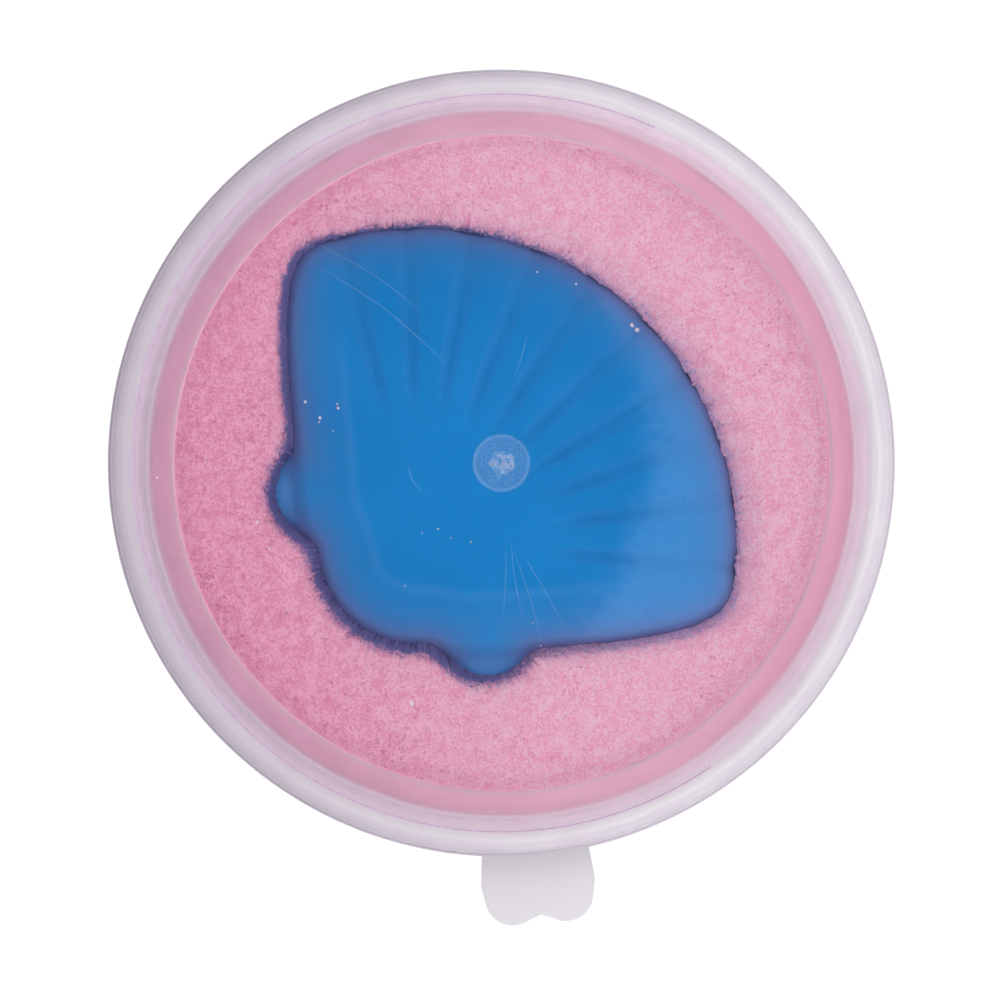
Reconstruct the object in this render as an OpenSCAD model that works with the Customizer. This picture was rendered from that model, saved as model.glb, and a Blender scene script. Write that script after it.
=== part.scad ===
// Round snap-lid tub of play sand, with a scallop shell sand mould pressed open side down
// into the sand so that its crown lies just under the lid.
// Lengths are in millimetres and angles in degrees. +Z is up, the origin is the centre of
// the tub's foot ring, and the lid's heart-shaped pull tab points along -Y.

/* [Tub] */
// Height of the tub, from the foot ring to the top of its rim
tub_h = 31; // [28:0.5:40]
// Thickness of the tub's wall and floor
tub_wall = 1; // [0.8:0.1:1.3]
// Radius of the inside of the tub at the ledge that the sand ends under
mouth_r = 38.6; // [38.4:0.1:39]
// How much smaller the tub's inside is at its floor than at the ledge
wall_taper = 5.2; // [4.8:0.1:5.8]
// Width of the ledge that the lid's plug hangs over
ledge_w = 1.15; // [1.1:0.05:1.4]
// Height of the rim above the ledge
rim_depth = 2.3; // [2:0.1:3]
// Thickness of the rim above the ledge
rim_wall = 1.1; // [0.9:0.05:1.2]
// How far the rim's snap bead stands out
rim_bead = 0.2; // [0.1:0.05:0.25]
// How far the stiffening ring stands out from the wall under the lid's lip
ring_reach = 1.7; // [1.4:0.1:1.9]
// Thickness of the stiffening ring
ring_t = 0.8; // [0.6:0.1:1]
// Width of the flat foot ring
foot_w = 1.2; // [0.8:0.1:2]
// How far the floor's underside is raised inside the foot ring
foot_recess = 0.8; // [0.5:0.1:1.2]

/* [Lid] */
// Thickness of the lid
lid_wall = 0.9; // [0.7:0.1:1]
// Width of the raised ring between the plug's outside and the sunken centre panel
plug_w = 4.35; // [3.75:0.05:4.4]
// How far the centre panel lies below the ring around it
panel_drop = 0.7; // [0.4:0.1:1]
// Depth of the lid's plug inside the tub's rim
plug_depth = 2; // [1.6:0.1:2]
// Radial clearance between the lid and the tub
lid_clear = 0.2; // [0.15:0.05:0.3]
// Thickness of the lid's outer skirt
skirt_wall = 0.65; // [0.5:0.05:0.8]
// Depth of the skirt below the top of the rim
skirt_depth = 3.4; // [3.2:0.1:3.5]
// How far the lip stands out from the bottom of the skirt
lip_w = 0.5; // [0.4:0.05:0.8]
// Thickness of the lip
lip_t = 0.9; // [0.7:0.1:1.2]

/* [Pull tab] */
// Length of the pull tab beyond the lip, to the tips of its lobes
tab_reach = 7.4; // [6:0.2:9]
// Half the width of the pull tab where it leaves the lip
tab_root = 5.8; // [5:0.1:6.5]
// Radius of each lobe of the heart
tab_lobe_r = 3.05; // [2.8:0.05:3.2]
// How far each lobe's centre lies from the tab's own centre line
tab_lobe_side = 2.85; // [2.4:0.05:3]
// Depth of the notch between the lobes
tab_notch = 0.95; // [0.6:0.05:1.2]
// Thickness of the pull tab
tab_t = 0.75; // [0.6:0.05:0.9]

/* [Shell mould] */
// Height of the mould, from its open edge to the top of its crown
mould_h = 13; // [11:0.5:14]
// Thickness of the mould's wall
mould_wall = 1.2; // [0.9:0.1:1.4]
// How much shorter the fan is, from the shell's hinge to its edge, than the tub's inside radius
fan_short = 3.8; // [3.4:0.2:5.2]
// Distance from the hinge to each straight side
side_reach = 12.8; // [12.4:0.1:13.4]
// Angle between the shell's axis and each straight side
side_angle = 45.6; // [44:0.2:47]
// Radius of the round tail behind the hinge
tail_r = 11.5; // [10.5:0.1:12.2]
// Radius of each ear beside the hinge
ear_r = 5.2; // [4.7:0.1:5.5]
// How far each ear's centre lies to the side of the axis
ear_side = 12.1; // [11.6:0.1:12.8]
// How far each ear's centre lies behind the hinge
ear_back = 2.6; // [2:0.1:3.2]
// How far the tops of the ears lie below the crown
ear_drop = 2.2; // [1.6:0.2:4]
// Number of grooves across the shell
groove_count = 10; // [6:2:10]
// Angle from one groove to the next
groove_pitch = 12; // [10:0.5:12]
// Depth of the grooves
groove_depth = 0.8; // [0.4:0.1:1]
// Half width of a groove where it starts; it widens towards the fan's edge
groove_w = 0.5; // [0.4:0.05:0.7]
// Height of the upright band around the open edge
band_h = 1; // [0.6:0.1:1.4]
// Width of the small step above that band
band_step = 0.15; // [0.1:0.05:0.3]
// How far the steep wall leans in over its whole height
wall_run = 0.5; // [0.4:0.1:1]
// Width of the rounded shoulder between the wall and the flat of the crown
dome_w = 7; // [6:0.5:8]
// Height of that shoulder
dome_h = 1.2; // [0.8:0.1:2]
// Height of the small ridge where the shoulder meets the flat at the sides and tail
ridge_h = 0.3; // [0.1:0.1:0.5]
// Height of the rounded shoulder of each ear
ear_dome_h = 1.2; // [0.8:0.1:2]
// Radius over which the wall rounds into the shoulder
shoulder = 0.8; // [0.6:0.1:1.2]
// How much the crown falls from its middle to the fan's edge
crown_fall = 0.3; // [0.1:0.1:0.6]

/* [Sand] */
// How far the hinge of the shell lies to the left of the tub's centre
hinge_left = 9.8; // [9:0.1:10.5]
// How far the hinge of the shell lies in front of the tub's centre
hinge_front = 7.9; // [7:0.1:9]
// Direction of the shell's axis, counted from +X
shell_turn = 45; // [30:1:60]
// Gap between the mould and the sand's hole around its open edge
hole_clear = 0.5; // [0.4:0.1:1]
// Gap between the sand and the lid's centre panel
sand_gap = 0.15; // [0.1:0.05:0.5]
// Height of the sand lump that the mould has shaped inside itself
print_h = 4; // [3:0.5:5]

/* [Hidden] */
$fn = 96;

// How far a cut runs past the face that it starts from
overrun = 0.5;
// Gap between the sand and what holds it
sand_fit = 0.05;
// Gap between the lid's plug and the ledge below it
ledge_gap = rim_depth - plug_depth;
// Gap between the moulded sand and the inside of the mould, and its rounded edge in angle steps
print_gap = 0.7;
print_round = 1;
print_step = 30;
// Small rounded edges of the tub and lid
edge = 0.3;
// Fillets of the tub's floor, outside and inside
foot_fillet = 0.8;
corner_fillet = 1.6;
// Height of the rim's snap bead and of the lid's bead that catches under it
bead_h = 0.8;
lid_bead = 0.12;
// Gate dimple in the middle of the lid, and the cut-off gate in it
dimple_r = 3;
dimple_d = 0.25;
gate_r = 1.1;
gate_h = 0.2;
// Cut-off gate under the tub's floor
foot_gate_r = 1.5;
foot_gate_h = 0.3;

floor_top = foot_recess + tub_wall;
floor_r = mouth_r - wall_taper;
ledge_z = tub_h - rim_depth;
rim_in = mouth_r + ledge_w;
rim_out = rim_in + rim_wall;
crown_top = tub_h + lid_wall;
plug_r = rim_in - lid_clear;
plug_low = tub_h - plug_depth;
panel_r = plug_r - plug_w;
panel_low = plug_low - panel_drop;
panel_top = panel_low + lid_wall;
ring_floor_top = plug_low + lid_wall;
skirt_in = rim_out + rim_bead + lid_clear + lid_bead;
skirt_out = skirt_in + skirt_wall;
lip_r = skirt_out + lip_w;
lip_low = tub_h - skirt_depth;
ring_top = lip_low - ledge_gap;
ring_low = ring_top - ring_t;
bead_z = tub_h - rim_depth / 2;
lid_bead_z = bead_z - bead_h - lid_clear;
sand_top = panel_low - sand_gap;
seat_z = sand_top - mould_h;
fan_r = mouth_r - fan_short;
ear_h = mould_h - ear_drop;

// Inside radius of the tub's wall at the height z
function wall_r(z) = floor_r + (mouth_r - floor_r) * (z - floor_top) / (ledge_z - floor_top);

// Points on an arc about a centre, from one angle to another
function arc(centre, r, from, to, steps) =
    [for (i = [0 : steps]) let (a = from + (to - from) * i / steps)
        centre + r * [cos(a), sin(a)]];

// The smaller and the larger of two values, rounded where they meet
function soft_min(a, b, round) =
    let (near = max(round - abs(a - b), 0) / round) min(a, b) - near * near * round / 4;
function soft_max(a, b, round) = -soft_min(-a, -b, round);

// A share that runs smoothly from 0 to 1 between two values
function ramp(x, from, to) =
    let (share = min(max((x - from) / (to - from), 0), 1)) share * share * (3 - 2 * share);

module tub() {
    foot_r = wall_r(floor_top) + tub_wall;
    foot_in = foot_r - foot_fillet - foot_w;
    ring_r = wall_r(ring_top) + tub_wall + ring_reach;
    color([0.88, 0.86, 0.9]) {
        rotate_extrude()
        polygon(concat(
            [[0, foot_recess], [foot_in - foot_recess, foot_recess], [foot_in, 0]],
            arc([foot_r - foot_fillet, foot_fillet], foot_fillet, -90, 0, 6),
            [[wall_r(ring_low) + tub_wall, ring_low],
             [ring_r, ring_low],
             [ring_r, ring_top],
             [rim_out, ring_top],
             [rim_out, bead_z - bead_h / 2],
             [rim_out + rim_bead, bead_z],
             [rim_out, bead_z + bead_h / 2],
             [rim_out, tub_h - edge],
             [rim_out - edge, tub_h],
             [rim_in + edge, tub_h],
             [rim_in, tub_h - edge],
             [rim_in, ledge_z],
             [mouth_r, ledge_z]],
            arc([wall_r(floor_top + corner_fillet) - corner_fillet, floor_top + corner_fillet],
                corner_fillet, 0, -90, 6),
            [[0, floor_top]]
        ));
        translate([0, 0, foot_recess - foot_gate_h])
            cylinder(r = foot_gate_r, h = foot_gate_h + tub_wall / 2);
    }
}

module lid() {
    wall_in = plug_r - lid_wall;
    color([0.9, 0.88, 0.93])
    difference() {
        union() {
            rotate_extrude()
            polygon(concat(
                [[0, panel_low],
                 [panel_r + lid_wall / 2, panel_low],
                 [panel_r + lid_wall / 2 + panel_drop / 2, plug_low],
                 [plug_r - edge, plug_low],
                 [plug_r, plug_low + edge],
                 [plug_r, tub_h],
                 [skirt_in, tub_h],
                 [skirt_in, lid_bead_z + bead_h / 2],
                 [skirt_in - lid_bead, lid_bead_z],
                 [skirt_in, lid_bead_z - bead_h / 2],
                 [skirt_in, lip_low]],
                arc([lip_r - edge, lip_low + edge], edge, -90, 0, 3),
                arc([lip_r - edge, lip_low + lip_t - edge], edge, 0, 90, 3),
                [[skirt_out, lip_low + lip_t + edge]],
                arc([skirt_out - lid_wall, crown_top - lid_wall], lid_wall, 0, 90, 6),
                arc([plug_r + lid_wall, crown_top - lid_wall], lid_wall, 90, 150, 4),
                [[wall_in + edge, ring_floor_top + edge],
                 [wall_in - edge, ring_floor_top],
                 [panel_r + panel_drop / 2, ring_floor_top],
                 [panel_r, panel_top],
                 [0, panel_top]]
            ));
            translate([0, 0, lip_low]) linear_extrude(tab_t) tab_outline();
        }
        translate([0, 0, panel_top - dimple_d]) cylinder(r = dimple_r, h = dimple_d + overrun);
    }
    color([0.93, 0.92, 0.95])
    translate([0, 0, panel_top - lid_wall / 2])
        cylinder(r = gate_r, h = lid_wall / 2 - dimple_d + gate_h);
}

// How far out along the tab its sides are widest
tab_bulge_share = 0.4;

// Outline of the heart: two lobes, a waist at the lip and a notch on the centre line
module tab_outline() {
    tip = lip_r + tab_reach;
    lobe_y = tip - tab_lobe_r;
    bulge = tab_lobe_side + tab_lobe_r + edge;
    half = concat(
        [[0, skirt_out], [tab_root, skirt_out], [bulge, lip_r + tab_reach * tab_bulge_share]],
        arc([tab_lobe_side, lobe_y], tab_lobe_r, 10, 105, 10),
        [[0, tip - tab_notch]]
    );
    for (side = [1, -1])
        polygon([for (p = half) [side * p.x, -p.y]]);
}

// Angles around the hinge, counted from the shell's axis, on one half of the mould.
// They crowd at each groove, where the surface turns fastest, and at the ear.
groove_shares = [0, 0.28, 0.4, 0.5, 0.6, 0.72];
corner_shares = [0, 0.25, 0.5, 0.75];
fan_end = groove_pitch * groove_count / 2;
corner_end = 72;
side_step = 4.5;
side_end = 88;
ear_start = 91;
ear_step = 2.5;
ear_end = 131;
tail_start = 136;
tail_step = 11;
half_angles = concat(
    [for (k = [0 : groove_count / 2 - 1], share = groove_shares) groove_pitch * (k + share)],
    [for (share = corner_shares) fan_end + (corner_end - fan_end) * share],
    [for (a = [corner_end : side_step : side_end]) a],
    [for (a = [ear_start : ear_step : ear_end]) a],
    [for (a = [tail_start : tail_step : 180]) a]
);
angles = concat(
    half_angles,
    [for (i = [len(half_angles) - 2 : -1 : 1]) 360 - half_angles[i]]
);

// Where the ridge of the crown starts on the way from the fan to the sides
ridge_from = 55;
ridge_to = 75;
// Where the straight sides run into the round tail
tail_from = 120;
tail_to = 136;
// Rounding of the fan's two corners, and of the ears where they join the body
corner_round = 13;
ear_round = 3;
// Width over which the top of an ear steps up to the body
ear_step_w = 1.2;
ear_centre = [-ear_back, ear_side];
// Least share of the side's distance that stands for a ray that runs along it
least_cos = 0.19;

// An angle from the axis as a value from 0 to 180, the same on both sides
function off_axis(a) = a > 180 ? 360 - a : a;

// The point at the distance r and angle a from the hinge
function at(r, a) = r * [cos(a), sin(a)];

// Radius of the fan, its sides and the tail at the angle a, without the ears
function body_r(a) =
    let (b = off_axis(a),
         side = side_reach / max(cos(b - side_angle - 90), least_cos),
         front = soft_min(fan_r, side, corner_round),
         back = ramp(b, tail_from, tail_to))
    front * (1 - back) + tail_r * back;

// The body's outline, and how many of its lines on either side of a point may be the nearest
line_step = 3;
outline = [for (a = [0 : line_step : 360 - line_step]) at(body_r(a), a)];
line_reach = 12;

// Distance from a point to the line between two others
function to_line(p, a, b) =
    let (share = min(max((p - a) * (b - a) / ((b - a) * (b - a)), 0), 1))
    norm(p - a - share * (b - a));

// How far inside the body's outline the point p at the angle a lies: less than 0 outside it
function body_depth(p, a) =
    let (count = len(outline),
         near = floor(a / line_step),
         away = min([for (k = [near - line_reach : near + line_reach])
             to_line(p, outline[(k + count) % count], outline[(k + 1 + count) % count])]))
    norm(p) < body_r(a) ? away : -away;

// How far inside an ear a point lies
function ear_depth(p) = ear_r - norm([p.x, abs(p.y)] - ear_centre);

// How far inside the mould's open edge a point lies: the body and its ears, blended
function depth_at(p, a) = soft_max(body_depth(p, a), ear_depth(p), ear_round);

// Radius on the ray at the angle a where the depth is inset, found by halving the way between
halvings = 13;
function halved(a, inset, low, high, left) =
    left == 0 ? (low + high) / 2
    : let (middle = (low + high) / 2)
      depth_at(at(middle, a), a) > inset ? halved(a, inset, middle, high, left - 1)
                                         : halved(a, inset, low, middle, left - 1);
function inset_r(a, inset) =
    let (far = max(body_r(a), abs(off_axis(a) - ear_angle) < ear_spread ? ear_d + ear_r : 0))
    halved(a, inset, tail_r / 4, far + ear_round, halvings);
ear_d = norm(ear_centre);
ear_angle = 90 + atan(ear_back / ear_side);
ear_spread = asin((ear_r + ear_round) / ear_d);

// How far a rounded shoulder lies below its top, at a distance in from its foot
function quarter_round(depth, width, height) =
    let (share = min(max(depth / width, 0), 1)) height * (1 - sqrt(1 - pow(1 - share, 2)));

// Depth of the grooves at the distance r and angle a from the hinge: none at the smooth hinge.
// A share of the depth is a wider hollow, so that the ribs between the grooves are rounded.
groove_from_share = 0.36;
groove_full_share = 0.45;
hollow_share = 0.25;
hollow_width_shares = 3;
function groove_at(r, a) =
    let (b = off_axis(a),
         full = fan_r * groove_full_share,
         line = min(floor(b / groove_pitch), groove_count / 2 - 1) + 0.5,
         off = r * sin(b - line * groove_pitch) / groove_w * full / max(r, full),
         wide = off / hollow_width_shares,
         depth = groove_depth * ramp(r, fan_r * groove_from_share, full))
    depth * ((1 - hollow_share) * exp(-off * off) + hollow_share * exp(-wide * wide));

// Height gained for each unit of the steep wall's run
rise = (mould_h - band_h) / wall_run;

// Height of the shell at the distance r and angle a, for a surface inset from the outside
function shell_z(r, a, inset) =
    let (p = at(r, a),
         body = body_depth(p, a) - inset - band_step,
         ear = ear_depth(p) - inset - band_step,
         cut = groove_at(r, a) * ramp(body, 0, wall_run),
         middle = [fan_r / 3, 0],
         fall = crown_fall * pow(norm(p - middle) / (fan_r - middle.x), 2),
         ridge = ridge_h * ramp(off_axis(a), ridge_from, ridge_to)
             * (1 - ramp(body, dome_w - shoulder * 2, dome_w)),
         crown = mould_h - fall - cut - ridge
             - quarter_round(body - wall_run / 2, dome_w, dome_h),
         lobe = ear_h - quarter_round(ear - wall_run / 2, ear_r, ear_dome_h),
         top = lobe + (crown - lobe) * ramp(body, -ear_step_w / 2, ear_step_w / 2),
         wall = band_h + (soft_max(body, ear, ear_round) - cut / 2) * rise)
    max(soft_min(wall, top, shoulder) - inset, 0);

// A ring of points up the wall, at a share of the way in past the steep wall
function wall_ring(share, start, inset) =
    [for (a = angles)
        let (r = inset_r(a, start + share * (wall_run + shoulder / 2)))
        concat(at(r, a), shell_z(r, a, inset))];

// A ring of points on the crown, at a share of the way from the top of the wall in to the hinge
function crown_ring(share, start, inset) =
    [for (a = angles)
        let (r = inset_r(a, start + wall_run + shoulder / 2) * (1 - share))
        concat(at(r, a), shell_z(r, a, inset))];

// A flat ring of points inside the open edge
function flat_ring(inset, z) = [for (a = angles) concat(at(inset_r(a, inset), a), z)];

// A closed skin through rings of points that run outwards below and inwards above
module skin(start, rings, end) {
    n = len(rings[0]);
    points = concat([start], [for (ring = rings) each ring], [end]);
    last = len(points) - 1;
    faces = concat(
        [for (i = [0 : n - 1]) [0, 1 + i, 1 + (i + 1) % n]],
        [for (k = [0 : len(rings) - 2], i = [0 : n - 1], half = [0, 1])
            let (a = 1 + k * n + i, b = 1 + k * n + (i + 1) % n)
            half == 0 ? [a, a + n, b] : [b, a + n, b + n]],
        [for (i = [0 : n - 1]) [last, last - n + (i + 1) % n, last - n + i]]
    );
    polyhedron(points = points, faces = faces);
}

// Puts a shape drawn about the shell's hinge and axis in its place in the sand
module in_the_sand() {
    translate([-hinge_left, -hinge_front, seat_z]) rotate([0, 0, shell_turn]) children();
}

outer_wall_shares = [0.12, 0.28, 0.46, 0.7, 1];
inner_wall_shares = [0.15, 0.4, 0.7, 1];
crown_shares = [0.03, 0.07, 0.12, 0.19, 0.28, 0.4, 0.52, 0.58, 0.63, 0.76, 0.9];
inner_crown_shares = [0.06, 0.14, 0.26, 0.42, 0.56, 0.66, 0.85];

module mould() {
    inner_edge = mould_wall + band_step;
    inner = concat(
        [for (i = [len(inner_crown_shares) - 1 : -1 : 0])
            crown_ring(inner_crown_shares[i], inner_edge, mould_wall)],
        [for (i = [len(inner_wall_shares) - 1 : -1 : 0])
            wall_ring(inner_wall_shares[i], inner_edge, mould_wall)],
        [flat_ring(inner_edge, 0)]
    );
    outer = concat(
        [flat_ring(0, 0), flat_ring(0, band_h), flat_ring(band_step, band_h + band_step / 2)],
        [for (share = outer_wall_shares) wall_ring(share, band_step, 0)],
        [for (share = crown_shares) crown_ring(share, band_step, 0)]
    );
    color([0.1, 0.47, 0.75])
    in_the_sand()
        skin([0, 0, shell_z(0, 0, mould_wall)], concat(inner, outer), [0, 0, shell_z(0, 0, 0)]);
}

module moulded_sand() {
    foot = mould_wall + band_step + print_gap;
    color([0.88, 0.63, 0.73])
    in_the_sand()
        skin([0, 0, 0],
             concat([flat_ring(foot, 0)],
                    [for (turn = [0 : print_step : 90])
                        flat_ring(foot + print_round * (1 - cos(turn)),
                                  print_h - print_round * (1 - sin(turn)))]),
             [0, 0, print_h]);
}

module sand_bed() {
    color([0.88, 0.63, 0.73])
    difference() {
        rotate_extrude()
        polygon([
            [0, floor_top],
            [wall_r(floor_top + corner_fillet) - corner_fillet - sand_fit, floor_top],
            [wall_r(floor_top + corner_fillet) - sand_fit, floor_top + corner_fillet],
            [wall_r(sand_top) - sand_fit, sand_top],
            [0, sand_top]
        ]);
        in_the_sand()
            linear_extrude(mould_h + overrun)
            polygon([for (a = angles) at(inset_r(a, -hole_clear), a)]);
    }
}

tub();
sand_bed();
moulded_sand();
mould();
lid();
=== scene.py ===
"""A lidded tub of pink play sand with a blue scallop shell mould pressed into it."""
import math

import bmesh
import bpy
import numpy as np
from mathutils import Matrix, Vector, noise


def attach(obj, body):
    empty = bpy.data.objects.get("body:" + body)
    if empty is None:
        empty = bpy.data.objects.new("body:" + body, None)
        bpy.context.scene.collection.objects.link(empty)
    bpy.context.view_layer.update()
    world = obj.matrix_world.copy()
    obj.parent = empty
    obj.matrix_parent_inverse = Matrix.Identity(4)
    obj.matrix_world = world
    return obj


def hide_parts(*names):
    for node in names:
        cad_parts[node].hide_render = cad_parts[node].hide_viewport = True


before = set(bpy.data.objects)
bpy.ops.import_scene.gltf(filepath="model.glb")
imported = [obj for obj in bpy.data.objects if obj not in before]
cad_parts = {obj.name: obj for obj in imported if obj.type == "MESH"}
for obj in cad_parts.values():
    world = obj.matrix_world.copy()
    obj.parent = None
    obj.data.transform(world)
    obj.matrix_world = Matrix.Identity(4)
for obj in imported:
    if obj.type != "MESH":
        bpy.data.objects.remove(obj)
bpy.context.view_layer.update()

MM = 0.001

# Sizes in millimetres, the same as the solids': the tub
TUB_H = 31.0
TUB_WALL = 1.0
FLOOR_R = 33.4
MOUTH_R = 38.6
LEDGE_W = 1.15
RIM_DEPTH = 2.3
RIM_WALL = 1.1
RIM_BEAD = 0.2
BEAD_H = 0.8
RING_REACH = 1.7
RING_T = 0.8
FOOT_W = 1.2
FOOT_RECESS = 0.8
FOOT_FILLET = 0.8
FOOT_GATE_R = 1.5
FOOT_GATE_H = 0.3
CORNER_FILLET = 1.6
FLOOR_TOP = FOOT_RECESS + TUB_WALL
LEDGE_Z = TUB_H - RIM_DEPTH
RIM_IN = MOUTH_R + LEDGE_W
RIM_OUT = RIM_IN + RIM_WALL
EDGE = 0.3

# The lid, as the solid but for a soft fall from its crown to the ring round the panel
LID_WALL = 0.9
PANEL_R = 35.2
PANEL_DROP = 0.7
STEP_ROUND = 0.12
PLUG_DEPTH = 2.0
LID_CLEAR = 0.2
LID_BEAD = 0.12
SKIRT_WALL = 0.65
SKIRT_DEPTH = 3.4
LIP_W = 0.5
LIP_T = 0.9
CROWN_TOP = TUB_H + LID_WALL
PLUG_R = RIM_IN - LID_CLEAR
PLUG_LOW = TUB_H - PLUG_DEPTH
PANEL_LOW = PLUG_LOW - PANEL_DROP
PANEL_TOP = PANEL_LOW + LID_WALL
RING_FLOOR_TOP = PLUG_LOW + LID_WALL
SKIRT_IN = RIM_OUT + RIM_BEAD + LID_CLEAR + LID_BEAD
SKIRT_OUT = SKIRT_IN + SKIRT_WALL
LIP_R = SKIRT_OUT + LIP_W
LIP_LOW = TUB_H - SKIRT_DEPTH
RING_TOP = LIP_LOW - (RIM_DEPTH - PLUG_DEPTH)
RING_LOW = RING_TOP - RING_T
CROWN_FOOT = 1.3
RING_SPLIT = 36.4
RING_BANDS = (36.9, 37.9, 38.5, 39.0)
PLUG_EDGE = 0.8
DIMPLE_R = 3.0
DIMPLE_D = 0.2
DIMPLE_EDGE = 0.5
GATE_R = 1.1
GATE_H = 0.2
TAB_REACH = 7.4
TAB_ROOT = 5.8
TAB_LOBE_R = 3.05
TAB_LOBE_SIDE = 2.85
TAB_NOTCH = 0.95
TAB_T = 0.75
TAB_EASE = 0.12
# Painted shade: a thin dark line on the lid's crown at this radius and width, on all but its right side.
SHADE_LINE_R = 39.6
SHADE_LINE_W = 0.13
STEP_W = 2.5 * STEP_ROUND

# The order of the lid's materials
FROSTED, POLISHED, GATE, TORN, SATIN, SHADE_LINE, SCUFFED, HAZY, MILKY, WHITISH, TAB, STEP = range(12)

# The shell mould, about its hinge. Its fan is 0.3 mm larger than the solid's, its wall steeper, its
# grooves shallower, its corners rounder and its shoulder flatter, to look as in the photograph.
MOULD_H = 13.0
MOULD_WALL = 1.2
FAN_R = 35.1
SIDE_REACH = 12.8
SIDE_ANGLE = 45.6
TAIL_R = 11.5
EAR_R = 5.2
EAR_SIDE = 12.1
EAR_BACK = 2.6
EAR_H = 10.8
GROOVES = 10
GROOVE_PITCH = 12.0
GROOVE_DEPTH = 0.6
GROOVE_W = 0.5
GROOVE_FROM = FAN_R * 0.36
GROOVE_FULL = FAN_R * 0.45
GROOVE_DEEP = FAN_R * 0.56
BAND_H = 1.0
BAND_STEP = 0.1
WALL_RUN = 0.2
DOME_W = 7.0
DOME_H = 1.2
DOME_CUT = 0.4
RIDGE_H = 0.3
RIDGE_FROM = 55.0
RIDGE_TO = 75.0
RIDGE_IN = 6.6
EAR_DOME_H = 1.2
EAR_STEP_W = 3.2
SHOULDER = 0.8
CROWN_FALL = 0.3
CORNER_ROUND = 13.0
CORNER_R = 5.5
EAR_ROUND = 2.2
TAIL_FROM = 120.0
TAIL_TO = 136.0
LEAST_COS = 0.19

# The sand
HINGE = Vector((-9.8, -7.9, 0.0))
SHELL_TURN = 45.0
HOLE_CLEAR = 0.14
LIP_IN = 0.45
LIP_MORE = 0.3
LIP_CLEAR = 0.05
LIP_ROUGH = 0.3
FAN_SINK = 1.3
SIDE_SINK = 0.6
FAN_GAP = -0.4
SIDE_GAP = 0.3
TAIL_GAP = 0.6
SAND_RAYS = 1100
SAND_RINGS = 80
SLOPE_RINGS = 12
SAND_FIT = 0.06
BY_MOULD = 0.5
SAND_GAP = 0.15
SAND_TOP = PANEL_LOW - SAND_GAP
SEAT_Z = SAND_TOP - MOULD_H
PRINT_H = 4.0
PRINT_GAP = 0.7

# The photograph: where the tub's axis shows, and the real size of a pixel at the lid
PHOTO_SIZE = 1000
TUB_PIXEL = (501.5, 463.2)
PIXEL_MM = 0.1081
CAMERA_TURN = -5.0
CAMERA_FAR = 600.0

# Loose crumbs at pixels of the photograph, with their widths in millimetres
CRUMB_T = 0.12
MOULD_CRUMBS = (
    (305, 402, 0.3), (338, 408, 0.35), (337, 404, 0.2), (320, 418, 0.35), (319, 422, 0.2), (333, 431, 0.14),
    (576, 284, 0.22), (541, 646, 0.16), (533, 623, 0.14), (438, 529, 0.2), (451, 538, 0.14), (471, 542, 0.2),
    (405, 586, 0.16), (422, 533, 0.14), (537, 272, 0.2),
)
SAND_CRUMBS = (
    (257, 522, 0.35), (269, 549, 0.3), (411, 704, 0.7), (408, 701, 0.35), (632, 325, 0.4), (637, 330, 0.5),
)
LID_CRUMBS = ((156.5, 478, 0.3), (869, 486, 0.35))
SCRATCH_W = 0.016
SCRATCHES = (
    (321, 246, 420, 311, 0.5), (318, 267, 444, 362, 0.7), (506, 546, 503, 616, 0.1), (511, 544, 524, 622, -0.2),
    (514, 552, 541, 642, 0.2), (524, 556, 564, 626, 0.1), (409, 464, 424, 492, -0.5), (528, 332, 515, 375, 0.1),
)

# Where the lid presses on the mould: the middle and radius of that patch, from the tub's axis
PATCH = (-12.0, 3.0)
PATCH_R = 28.0

# The light tent: its brightness, and the half angles between which its hole fades
TENT_LIGHT = 2.3
HOLE_DARK = 25.0
HOLE_SOFT = 37.0


def to_linear(text):
    """An sRGB hex colour as linear red, green, blue and alpha."""
    parts = [int(text[i:i + 2], 16) / 255 for i in (1, 3, 5)]
    return [c / 12.92 if c <= 0.04045 else ((c + 0.055) / 1.055) ** 2.4 for c in parts] + [1.0]


def ramp(x, low, high):
    """A share that runs smoothly from 0 to 1 between two values."""
    share = np.clip((x - low) / (high - low), 0.0, 1.0)
    return share * share * (3 - 2 * share)


def soft_min(a, b, width):
    """The smaller of two values, rounded where they meet."""
    near = np.maximum(width - np.abs(a - b), 0) / width
    return np.minimum(a, b) - near * near * width / 4


def soft_max(a, b, width):
    """The larger of two values, rounded where they meet."""
    return -soft_min(-a, -b, width)


def arc(x, y, radius, start, stop, steps):
    """Points on an arc in the plane of a profile, in millimetres."""
    turns = [math.radians(start + (stop - start) * i / steps) for i in range(steps + 1)]
    return [(x + radius * math.cos(t), y + radius * math.sin(t)) for t in turns]


def fall(from_x, to_x, from_y, to_y, steps):
    """Points of a soft curve between two levels, flat at both of its ends."""
    shares = [k / steps for k in range(steps + 1)]
    return [
        (from_x + (to_x - from_x) * s, to_y + (from_y - to_y) * (1 + math.cos(math.pi * s)) / 2)
        for s in shares
    ]


def rough(point, scale, octaves=3):
    """Fractal noise from -1 to 1 at a point in millimetres, with features of about scale."""
    return noise.fractal(Vector(point) / scale, 1.0, 2.0, octaves)


def node(tree, kind, links=(), **settings):
    """Adds a shader node, sets its sockets and properties by name, and links outputs to its inputs."""
    made = tree.nodes.new(kind)
    for name, value in settings.items():
        if hasattr(made, name):
            setattr(made, name, value)
        else:
            made.inputs[name.replace("_", " ")].default_value = value
    for socket, source in dict(links).items():
        tree.links.new(source, made.inputs[socket])
    return made


def new_material(name):
    """An empty node material with an output."""
    made = bpy.data.materials.new(name)
    made.use_nodes = True
    tree = made.node_tree
    tree.nodes.clear()
    return made, tree


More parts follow.
